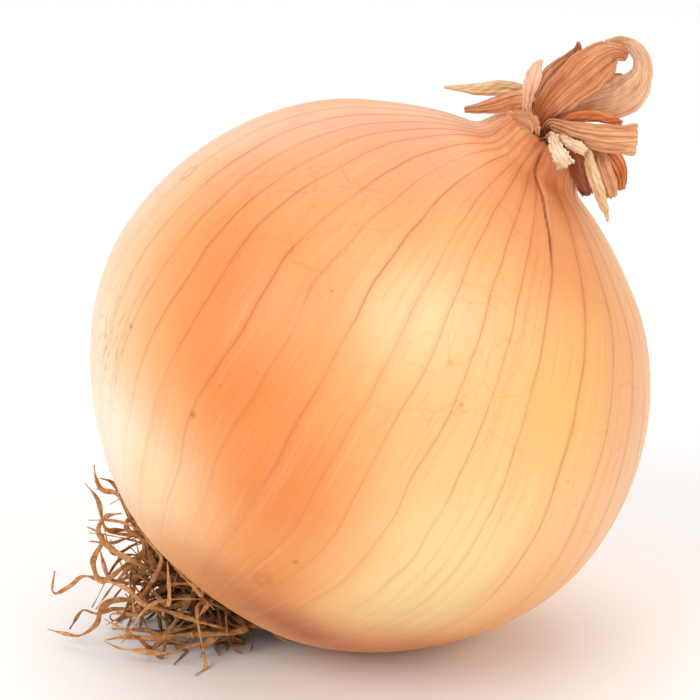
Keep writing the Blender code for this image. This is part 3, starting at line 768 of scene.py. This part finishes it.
# %% The leaves and where they go
# Stations run from a leaf's foot to its tip. The rear leaves face away from the camera and up.
REAR = (-0.5, 0.6, 0.62)
LEAVES = {
    "broad_leaf": dict(
        stations=(
            (-1.1, -2.2, 1.7, 3.0), (-0.1, -3.4, 3.9, 4.5), (1.6, -4.4, 6.1, 5.5),
            (3.6, -4.9, 8.1, 6.0), (5.7, -4.9, 10.0, 6.0), (7.7, -4.5, 11.4, 5.0),
            (9.3, -4.1, 11.9, 2.7), (10.7, -3.8, 11.4, 1.1),
        ), finish="rust", arch=0.50, rib=0.11, ruffle=0.05, seed=3),
    "shadow_leaf": dict(
        stations=(
            (-1.3, -0.6, 2.3, 2.1), (-0.8, -0.6, 4.9, 3.3), (0.4, -0.4, 7.2, 3.9),
            (1.9, -0.2, 9.0, 3.6), (3.3, -0.2, 10.6, 2.5), (4.1, -0.4, 12.1, 1.2),
            (4.1, -0.4, 13.1, 0.3),
        ), finish="dark", arch=0.30, rib=0.10, seed=5),
    "curled_leaf": dict(
        stations=(
            (1.7, -1.2, 1.8, 2.1), (4.0, -1.2, 3.2, 3.6), (7.0, -1.4, 4.1, 4.8),
            (10.0, -1.8, 5.1, 5.7), (12.1, -2.2, 6.9, 4.8), (13.2, -2.4, 9.2, 3.0),
            (12.9, -2.4, 11.2, 2.4), (11.8, -2.2, 12.6, 1.9), (10.0, -1.6, 13.4, 1.3),
            (8.0, -1.0, 13.0, 0.8),
        ), finish="tan", arch=0.34, rib=0.05, ruffle=0.06, seed=8),
    "inner_leaf": dict(
        stations=(
            (1.4, 1.6, 1.6, 2.1), (4.1, 1.8, 3.4, 3.0), (6.9, 2.0, 5.1, 3.6),
            (9.5, 2.0, 6.7, 3.0), (11.7, 2.0, 7.7, 1.3),
        ), finish="rust", rib=0.10, torn=1.0, seed=13),
    "cut_leaf": dict(
        stations=(
            (-0.1, -4.6, 1.8, 1.5), (1.6, -5.6, 1.5, 2.2), (3.8, -6.2, 0.7, 3.3),
            (7.0, -6.4, 0.2, 4.0), (9.9, -6.2, -0.1, 4.3), (12.4, -5.8, -0.2, 4.5),
        ), finish="ribbed", arch=0.16, rib=0.13, ruffle=0.03, torn=0.3, seed=21),
    "folded_leaf": dict(
        stations=(
            (1.2, -4.6, 2.1, 1.0), (2.6, -4.9, 2.8, 1.3), (4.4, -4.8, 3.1, 1.4),
            (6.7, -4.5, 3.0, 1.5), (9.0, -4.2, 2.4, 1.2), (10.5, -4.0, 1.9, 0.6),
        ), finish="orange", arch=0.5, rib=0.06, torn=0.6, seed=34),
    "hanging_leaf": dict(
        stations=(
            (6.8, -3.4, -2.6, 2.2), (7.4, -3.4, -4.0, 2.8), (8.1, -3.3, -5.8, 3.1),
            (8.9, -3.2, -7.8, 2.8), (9.3, -3.1, -9.5, 1.7),
        ), finish="ribbed", arch=0.25, rib=0.10, torn=1.2, seed=55),
    "side_leaf": dict(
        stations=(
            (6.3, -0.8, -1.5, 1.8), (8.4, -0.6, -3.0, 3.0), (9.8, -0.6, -4.8, 3.6),
            (10.7, -0.8, -6.7, 2.4), (11.1, -1.2, -8.6, 0.9),
        ), finish="orange", arch=0.40, rib=0.10, torn=0.6, seed=89),
    "brown_leaf": dict(
        stations=(
            (3.6, -7.0, -0.8, 2.0), (3.9, -6.5, -2.6, 2.6), (4.5, -5.6, -4.8, 2.8),
            (5.2, -4.8, -7.0, 2.4), (5.9, -4.2, -8.8, 1.4),
        ), finish="brown", rib=0.10, torn=1.2, ragged=0.05, seed=144),
    "long_tip": dict(
        stations=(
            (-2.7, 2.2, 4.8, 1.1), (-4.2, 2.4, 5.8, 1.8), (-6.8, 2.0, 6.1, 2.1),
            (-9.8, 1.5, 6.0, 1.8), (-12.4, 1.1, 6.2, 1.1), (-15.1, 0.8, 6.4, 0.3),
        ), finish="straw", arch=0.3, rib=0.04, seed=7),
    "pale_strip": dict(
        stations=(
            (-3.4, -6.0, 3.7, 1.2), (-3.6, -6.8, 5.4, 1.3), (-3.5, -7.6, 7.1, 1.9),
            (-3.0, -8.2, 8.9, 2.2), (-2.6, -8.2, 10.3, 1.8), (-1.8, -7.8, 11.5, 0.4),
        ), finish="rosy", arch=0.15, rib=0.05, ruffle=0.4, ragged=0.10, seed=10),
    "left_sheath": dict(
        stations=(
            (-12.1, -1.0, 3.4, 0.8), (-10.1, -2.2, 3.8, 1.5), (-7.9, -3.2, 4.4, 2.2),
            (-5.7, -4.2, 5.2, 2.7), (-3.8, -5.0, 5.7, 2.4), (-2.5, -5.2, 6.3, 1.2),
        ), finish="ribbed", arch=0.35, rib=0.10, torn=0.5, ragged=0.04, rooted=False, seed=16),
    "torn_flake": dict(
        stations=(
            (-5.5, -8.0, 3.8, 1.2), (-4.5, -8.6, 3.3, 2.1), (-3.3, -9.0, 2.8, 2.5),
            (-2.9, -9.3, 1.6, 1.8), (-2.8, -9.6, 0.5, 1.1),
        ), finish="ribbed", arch=0.2, rib=0.05, ruffle=0.6, torn=2.2, ragged=0.26, rooted=False, seed=24),
    "cream_flake": dict(
        stations=(
            (-0.1, -8.4, 0.8, 1.1), (0.2, -9.4, -0.4, 1.8), (1.1, -10.0, -2.0, 2.2),
            (2.1, -10.2, -3.6, 2.7),
        ), finish="cream", arch=0.25, rib=0.05, ruffle=0.5, torn=1.2, ragged=0.24, seed=37),
    "cream_shred": dict(
        stations=(
            (1.1, -7.6, 0.4, 0.9), (2.2, -8.6, -0.1, 1.3), (3.4, -9.0, -0.6, 1.6),
            (4.9, -9.4, -1.4, 1.3),
        ), finish="cream", arch=0.2, rib=0.04, ruffle=0.4, torn=0.8, ragged=0.20, seed=41),
    "dangling_strip": dict(
        stations=(
            (4.8, -8.0, -1.6, 1.2), (5.5, -8.2, -3.4, 1.5), (6.2, -8.0, -5.5, 1.8),
            (7.1, -7.4, -7.7, 1.6), (7.8, -6.8, -9.7, 1.2), (8.3, -6.2, -10.9, 0.6),
            (8.6, -6.0, -12.0, 0.4),
        ), finish="straw", arch=0.35, rib=0.06, ruffle=0.3, ragged=0.06, seed=49),
    "rear_leaf": dict(
        stations=(
            (0.4, 3.2, 1.2, 3.5), (1.2, 5.0, 3.2, 5), (2.8, 7.2, 5.0, 6),
            (5.0, 9.4, 6.0, 5), (7.2, 11.0, 5.8, 2),
        ), finish="rust", rib=0.10, torn=1.2, facing=REAR, seed=57),
    "rear_sheath": dict(
        stations=(
            (-2.8, 5.6, 2.2, 3), (-3.4, 7.6, 3.4, 4), (-4.2, 9.4, 4.0, 3.4),
            (-5.2, 10.8, 3.8, 1.5),
        ), finish="tan", rib=0.06, torn=1.0, facing=REAR, seed=64),
}
for leaf_name, form in LEAVES.items():
    looks = form.pop("finish")
    strip = dry_leaf(f"dry_{leaf_name}", **form)
    strip.data.materials.append(LEAF_FINISHES[looks])
    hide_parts(leaf_name)
print("leaves:", len(LEAVES))

# %% [markdown]
# ## The roots
#
# The dry roots leave the root plate side by side, then tangle: flat wavy ribbons about a millimetre
# wide. Their middle lines are the solid model's, worked out by the same steps: each root starts on the
# plate, follows its places or a wavy curve of its own, and all are pushed apart, so that the solid
# model's thinner tubes keep clear of each other. The wider ribbons may lie against one another.

# %% Places of the long roots
# The turn at which each root leaves the rim of the plate, then the places that it passes through.
LONG_ROOTS = (
    (-158, (-36.3, -4.0, 8.3), (-42.8, -7.0, 10.1), (-46.0, -8.0, 11.1), (-47.9, -9.0, 9.9),
     (-50.5, -9.0, 8.8), (-50.1, -9.0, 12.4)),
    (-134, (-36.2, -6.0, 6.8), (-41.3, -8.0, 7.2), (-43.2, -9.0, 6.3), (-44.0, -10.0, 4.1),
     (-46.4, -10.0, 2.3), (-48.5, -9.0, 2.0), (-51.8, -8.0, 2.4)),
    (-172, (-38.3, -1.0, 3.8), (-42.5, -3.0, 3.5), (-44.7, -4.0, 3.2), (-46.8, -4.0, 3.8),
     (-48.1, -4.0, 2.1), (-49.0, -4.0, 0.6)),
    (172, (-36.8, 2.0, 12.2), (-38.9, 1.0, 15.4), (-40.6, 0.0, 19.9), (-41.7, 0.0, 21.6),
     (-43.7, 0.0, 22.1), (-44.6, 0.0, 24.0), (-44.8, 0.0, 26.1)),
    (155, (-38.0, 6.0, 11.9), (-41.1, 5.0, 19.0), (-42.7, 4.0, 21.9), (-44.4, 3.0, 22.9)),
    (-56, (-24.1, -8.0, 4.7), (-22.8, -11.0, 4.1), (-19.8, -12.0, 4.5), (-17.7, -13.0, 4.5),
     (-16.3, -14.0, 3.8), (-14.7, -14.0, 3.0)),
    (-70, (-22.9, -10.0, 5.3), (-21.1, -13.0, 4.7), (-24.8, -14.0, 4.3), (-30.5, -14.0, 4.0),
     (-34.9, -14.0, 3.5), (-39.0, -13.0, 3.4), (-42.2, -13.0, 2.9)),
    (-84, (-24.8, -12.0, 4.5), (-26.9, -15.0, 3.6), (-30.4, -16.0, 3.0), (-32.4, -17.0, 2.6),
     (-36.9, -16.0, 2.5), (-40.0, -15.0, 2.5), (-42.4, -14.0, 3.2)),
    (-42, (-22.7, -12.0, 4.2), (-27.5, -15.0, 6.7), (-32.5, -14.0, 7.9), (-36.3, -13.0, 8.7),
     (-38.9, -12.0, 10.7), (-42.4, -11.0, 11.8)),
    (-146, (-37.3, -8.0, 14.2), (-42.6, -10.0, 11.2), (-44.1, -10.0, 13.6), (-43.9, -9.0, 15.0),
     (-42.6, -8.0, 17.1), (-43.5, -8.0, 18.3), (-45.1, -8.0, 19.1)),
    (-120, (-34.2, -9.0, 12.2), (-39.2, -11.0, 15.5), (-42.1, -11.0, 17.7), (-43.0, -11.0, 19.8),
     (-42.1, -9.0, 21.1), (-40.0, -7.0, 20.9)),
)
SHORT_ROOTS = 29
ROOT_SEED = 9
ROOT_RADIUS = 0.32
ROOT_TIP_RADIUS = 0.16
ROOT_STEP = 0.8
ROOT_CLEARANCE = 0.45
RING_OF_ROOTS = 9.0
SPREAD_PASSES = 220
# How far a short root goes from its start, and how far it swerves between places, in degrees.
FIRST_REACH = 5.0
LAST_REACH = (15.0, 25.0)
REACH_STEP = 3.6
SWERVE = 20.0
GOLDEN_TURN = math.pi * (3.0 - math.sqrt(5.0))
GOLDEN_SHARE = 0.618034

# %% Routes of the roots
def plate_place(share, turn):
    """Where a root leaves the plate: share runs from the plate's middle to its rim."""
    radius = RING_OF_ROOTS * math.sqrt(share)
    flat = DOWNHILL * math.cos(turn) + SIDEWAYS * math.sin(turn)
    return BULB_CENTRE + AXIS * (ROOT_PLATE - 0.5 + 1.5 * share) + flat * radius


def even_steps(points):
    """The same curve with a point every ROOT_STEP."""
    lengths = np.concatenate([[0], np.cumsum(np.linalg.norm(np.diff(points, axis=0), axis=1))])
    at = np.linspace(0, lengths[-1], int(round(lengths[-1] / ROOT_STEP)) + 1)
    return np.stack([np.interp(at, lengths, points[:, k]) for k in range(3)], axis=1)


def long_root(turn, *places):
    """A root that leaves the plate's rim and passes through all its places."""
    start = plate_place(1.0, math.radians(turn))
    return even_steps(curve_through([start, start - AXIS * 1.5, *places], np.linspace(0, 1, 200)))


def short_root(index, chance, slots):
    """A root that wanders from the plate through the tuft, which spreads over the ground."""
    start = plate_place((index + 0.5) / slots, math.pi + index * GOLDEN_TURN)
    turned = math.radians(-120 + 185 * ((index * GOLDEN_SHARE) % 1.0))
    rise = math.radians(chance.uniform(-14.0, 50.0)) * max(0.3, math.cos(turned))
    places = [start, start - AXIS * 2.0]
    for reach in np.arange(FIRST_REACH, chance.uniform(*LAST_REACH), REACH_STEP):
        turned += math.radians(chance.normal(0.0, SWERVE))
        rise += math.radians(chance.normal(0.0, SWERVE * 0.8))
        level = np.array((-math.cos(turned), math.sin(turned), 0.0)) * math.cos(rise)
        places.append(start + reach * (level + np.array((0.0, 0.0, math.sin(rise)))))
    return even_steps(curve_through(places, np.linspace(0, 1, 160)))


def root_radii(count):
    return np.linspace(ROOT_RADIUS, ROOT_TIP_RADIUS, count)


def bezier(knots, steps):
    """The outline as (height, radius) rows, from the same knots and handles that drew the skin."""
    rows = []
    for (_, start, out), (into, end, _) in zip(knots, knots[1:]):
        t = np.linspace(0, 1, steps)[:-1, None]
        left = 1 - t
        start, out, into, end = (np.array(p, float) for p in (start, out, into, end))
        rows.append(left**3 * start + 3 * left**2 * t * out + 3 * left * t**2 * into + t**3 * end)
    return np.concatenate([*rows, [knots[-1][1]]])


OUTLINE_ROWS = bezier(knots, 24)


def off_the_bulb(points, room):
    """How far each point has to move to stand clear of the bulb."""
    from_centre = points - BULB_CENTRE
    high = from_centre @ AXIS
    outward = from_centre - high[:, None] * AXIS
    wide = np.linalg.norm(outward, axis=1)
    gap = np.stack([high, wide], axis=1)[:, None] - OUTLINE_ROWS[None]
    nearest = np.argmin((gap**2).sum(axis=2), axis=1)
    slope = unit(np.gradient(OUTLINE_ROWS, axis=0))[nearest]
    normal = np.stack([-slope[:, 1], slope[:, 0]], axis=1)
    short = room - (gap[np.arange(len(points)), nearest] * normal).sum(axis=1)
    lift = np.clip(short, 0, None)[:, None] * normal
    return lift[:, :1] * AXIS + lift[:, 1:] * outward / np.maximum(wide, 1e-6)[:, None]


def smoothed(moves, owner):
    """Moves averaged with their neighbours' along the same root, so that a push bends a root gently."""
    kept = moves.copy()
    same = (owner[:-2] == owner[1:-1]) & (owner[1:-1] == owner[2:])
    mean = 0.25 * moves[:-2] + 0.5 * moves[1:-1] + 0.25 * moves[2:]
    kept[1:-1][same] = mean[same]
    return kept


def spread_apart(routes, passes, clearance):
    """The roots moved off each other, off the bulb and up off the ground, a little at a time."""
    at_rest = np.concatenate(routes)
    owner = np.repeat(np.arange(len(routes)), [len(route) for route in routes])
    order = np.concatenate([np.arange(len(route)) for route in routes])
    thick = np.concatenate([root_radii(len(route)) for route in routes])
    need = thick[:, None] + thick[None] + clearance
    apart = (owner[:, None] != owner[None]) | (np.abs(order[:, None] - order[None]) > 4)
    apart &= np.arange(len(owner))[:, None] < np.arange(len(owner))[None]
    free = np.clip((order - 1) / 4, 0, 1)[:, None]
    moves = np.zeros_like(at_rest)
    for _ in range(passes):
        points = at_rest + moves
        square = (points**2).sum(axis=1)
        distance = square[:, None] + square[None] - 2 * points @ points.T
        first, second = np.nonzero(apart & (distance < need**2))
        gap = points[first] - points[second]
        length = np.maximum(np.linalg.norm(gap, axis=1, keepdims=True), 1e-6)
        push = 0.3 * (need[first, second][:, None] - length) * gap / length
        np.add.at(moves, first, push * free[first])
        np.add.at(moves, second, -push * free[second])
        moves += off_the_bulb(at_rest + moves, thick + clearance) * free
        moves = smoothed(moves, owner)
        moves[:, 2] += np.clip(thick + 0.02 - (at_rest + moves)[:, 2], 0, None)
    points = at_rest + moves
    return [points[owner == k] for k in range(len(routes))]


chance = np.random.default_rng(ROOT_SEED)
routes = [long_root(*stations) for stations in LONG_ROOTS]
routes += [short_root(index, chance, SHORT_ROOTS + 6) for index in range(SHORT_ROOTS)]
routes = spread_apart(routes, SPREAD_PASSES, ROOT_CLEARANCE)
print("roots:", len(routes), "total length, mm:", round(sum(len(r) for r in routes) * ROOT_STEP))

# %% [markdown]
# Each strand is a curve with a small extrusion and a bevel, which makes a flat ribbon with round edges.
# Turning it about its own length as it goes gives the twist of a dried root, and uneven widths give the
# pinches. The tube is then made a mesh, so that it holds its own shape and place.

# %% Strands
def strand(name, route, seed, thickness=1.0, rings=2.0, roundness=2):
    """A flat twisted ribbon of dry root along its route, with this many rings to each step."""
    chance = np.random.default_rng(seed)
    shape = bpy.data.curves.new(name, "CURVE")
    shape.dimensions = "3D"
    shape.twist_mode = "MINIMUM"
    line = shape.splines.new("POLY")
    inside = 2 * route[:1] - route[2:3]
    dense = curve_through(np.concatenate([inside, route]), np.linspace(0, 1, int(len(route) * rings)))
    line.points.add(len(dense) - 1)
    at = np.linspace(0, 1, len(dense))
    wide = (1.15 - 0.4 * at) * (1 + 0.30 * wavering(at * len(route), seed, 0.35, 0.9, 1.7))
    tilt = chance.uniform(0, math.pi) + 2.2 * wavering(at * len(route), seed + 1, 0.12, 0.3)
    taper = np.clip((1 - at) * 10, 0.45, 1.0)
    for point, place, width, turn in zip(line.points, dense * MM, wide * taper, tilt):
        point.co = (*place, 1.0)
        point.radius = width
        point.tilt = turn
    shape.extrude = 0.30 * thickness * MM
    shape.bevel_depth = 0.17 * thickness * MM
    shape.bevel_resolution = roundness
    shape.use_fill_caps = True
    made = bpy.data.objects.new(name, shape)
    bpy.context.scene.collection.objects.link(made)
    make_active(made)
    bpy.ops.object.convert(target="MESH")
    made = bpy.context.object
    places = positions(made)
    places[:, 2] = np.maximum(places[:, 2], 0.0)
    move_to(made, places)
    return made


def fibre_finish():
    """Dry root: brown, paler where it is scuffed, with fine dark creases, and painted shade that darkens
    it near the plate.
    """
    fibre = Finish("dry_root", roughness=0.7, Specular_IOR_Level=0.25)
    here = fibre.node("ShaderNodeTexCoord", output=3)
    in_mm = {"Vector": here, "Scale": (MM, MM, MM)}
    at = fibre.node("ShaderNodeMapping", {"vector_type": "TEXTURE"}, in_mm)
    clouds = fibre.noise(at, 0.16, 2.0)
    flecks = fibre.noise(at, 1.6, 3.0, 0.6)
    creases = fibre.noise(at, 5.0, 2.0, 0.6)
    shade = clouds * 0.55 + flecks * 0.45
    stops = ((0.36, colour(144, 86, 46)), (0.48, colour(196, 134, 80)), (0.62, colour(236, 184, 126)))
    tone = fibre.tones(shade, *stops)
    tone = fibre.blend(tone, colour(90, 44, 18), fibre.rise(creases, 0.52, 0.75) * 0.5)
    # Painted shade: the roots darken towards the plate, where they lie in the hollow under the bulb.
    plate = BULB_CENTRE + AXIS * ROOT_PLATE
    from_plate = fibre.node("ShaderNodeVectorMath", {"operation": "DISTANCE"}, {0: at, 1: plate}, output=1)
    tone = fibre.blend(tone, colour(66, 34, 14), fibre.rise(from_plate, 18.0, 8.0) * 0.75)
    fibre.surface("Base Color", tone)
    fibre.surface("Normal", fibre.bump(creases + flecks, 0.12))
    return fibre.material


root_finish = fibre_finish()
for number, route in enumerate(routes, start=1):
    piece = strand(f"strand_{number:02d}", route, 100 + number)
    piece.data.materials.append(root_finish)
    bpy.ops.object.shade_smooth()
    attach(piece, "root")
    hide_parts(f"root_{number:02d}")
print("strands made")

# %% [markdown]
# Between the main roots lie many finer ones, too thin to carry anything. They fill the tuft so that it
# reads as a tangle and not as a few strings. They are made the same way, thinner, and joined into one
# piece.

# %% Fine roots
FINE_ROOTS = 150
# How far a fine root may reach to the left and to the front, so that none strays from the tuft.
FARTHEST = (-46.5, -20.0)
chance = np.random.default_rng(ROOT_SEED + 1)
fine_routes = [short_root(index, chance, FINE_ROOTS + 4) for index in range(FINE_ROOTS)]
fine_routes = [route for route in fine_routes if (route[:, :2].min(axis=0) > FARTHEST).all()]
fine_routes = spread_apart(fine_routes, 12, 0.0)
fine = [
    strand(f"fine_{number}", route, 300 + number, chance.uniform(0.55, 1.0), rings=1.5, roundness=1)
    for number, route in enumerate(fine_routes)
]
deselect_all()
for piece in fine:
    piece.select_set(True)
bpy.context.view_layer.objects.active = fine[0]
bpy.ops.object.join()
fine_roots = bpy.context.object
fine_roots.name = "fine_roots"
fine_roots.data.materials.append(root_finish)
bpy.ops.object.shade_smooth()
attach(fine_roots, "root")
print("fine roots:", len(fine), "of", FINE_ROOTS, "with faces:", len(fine_roots.data.polygons))
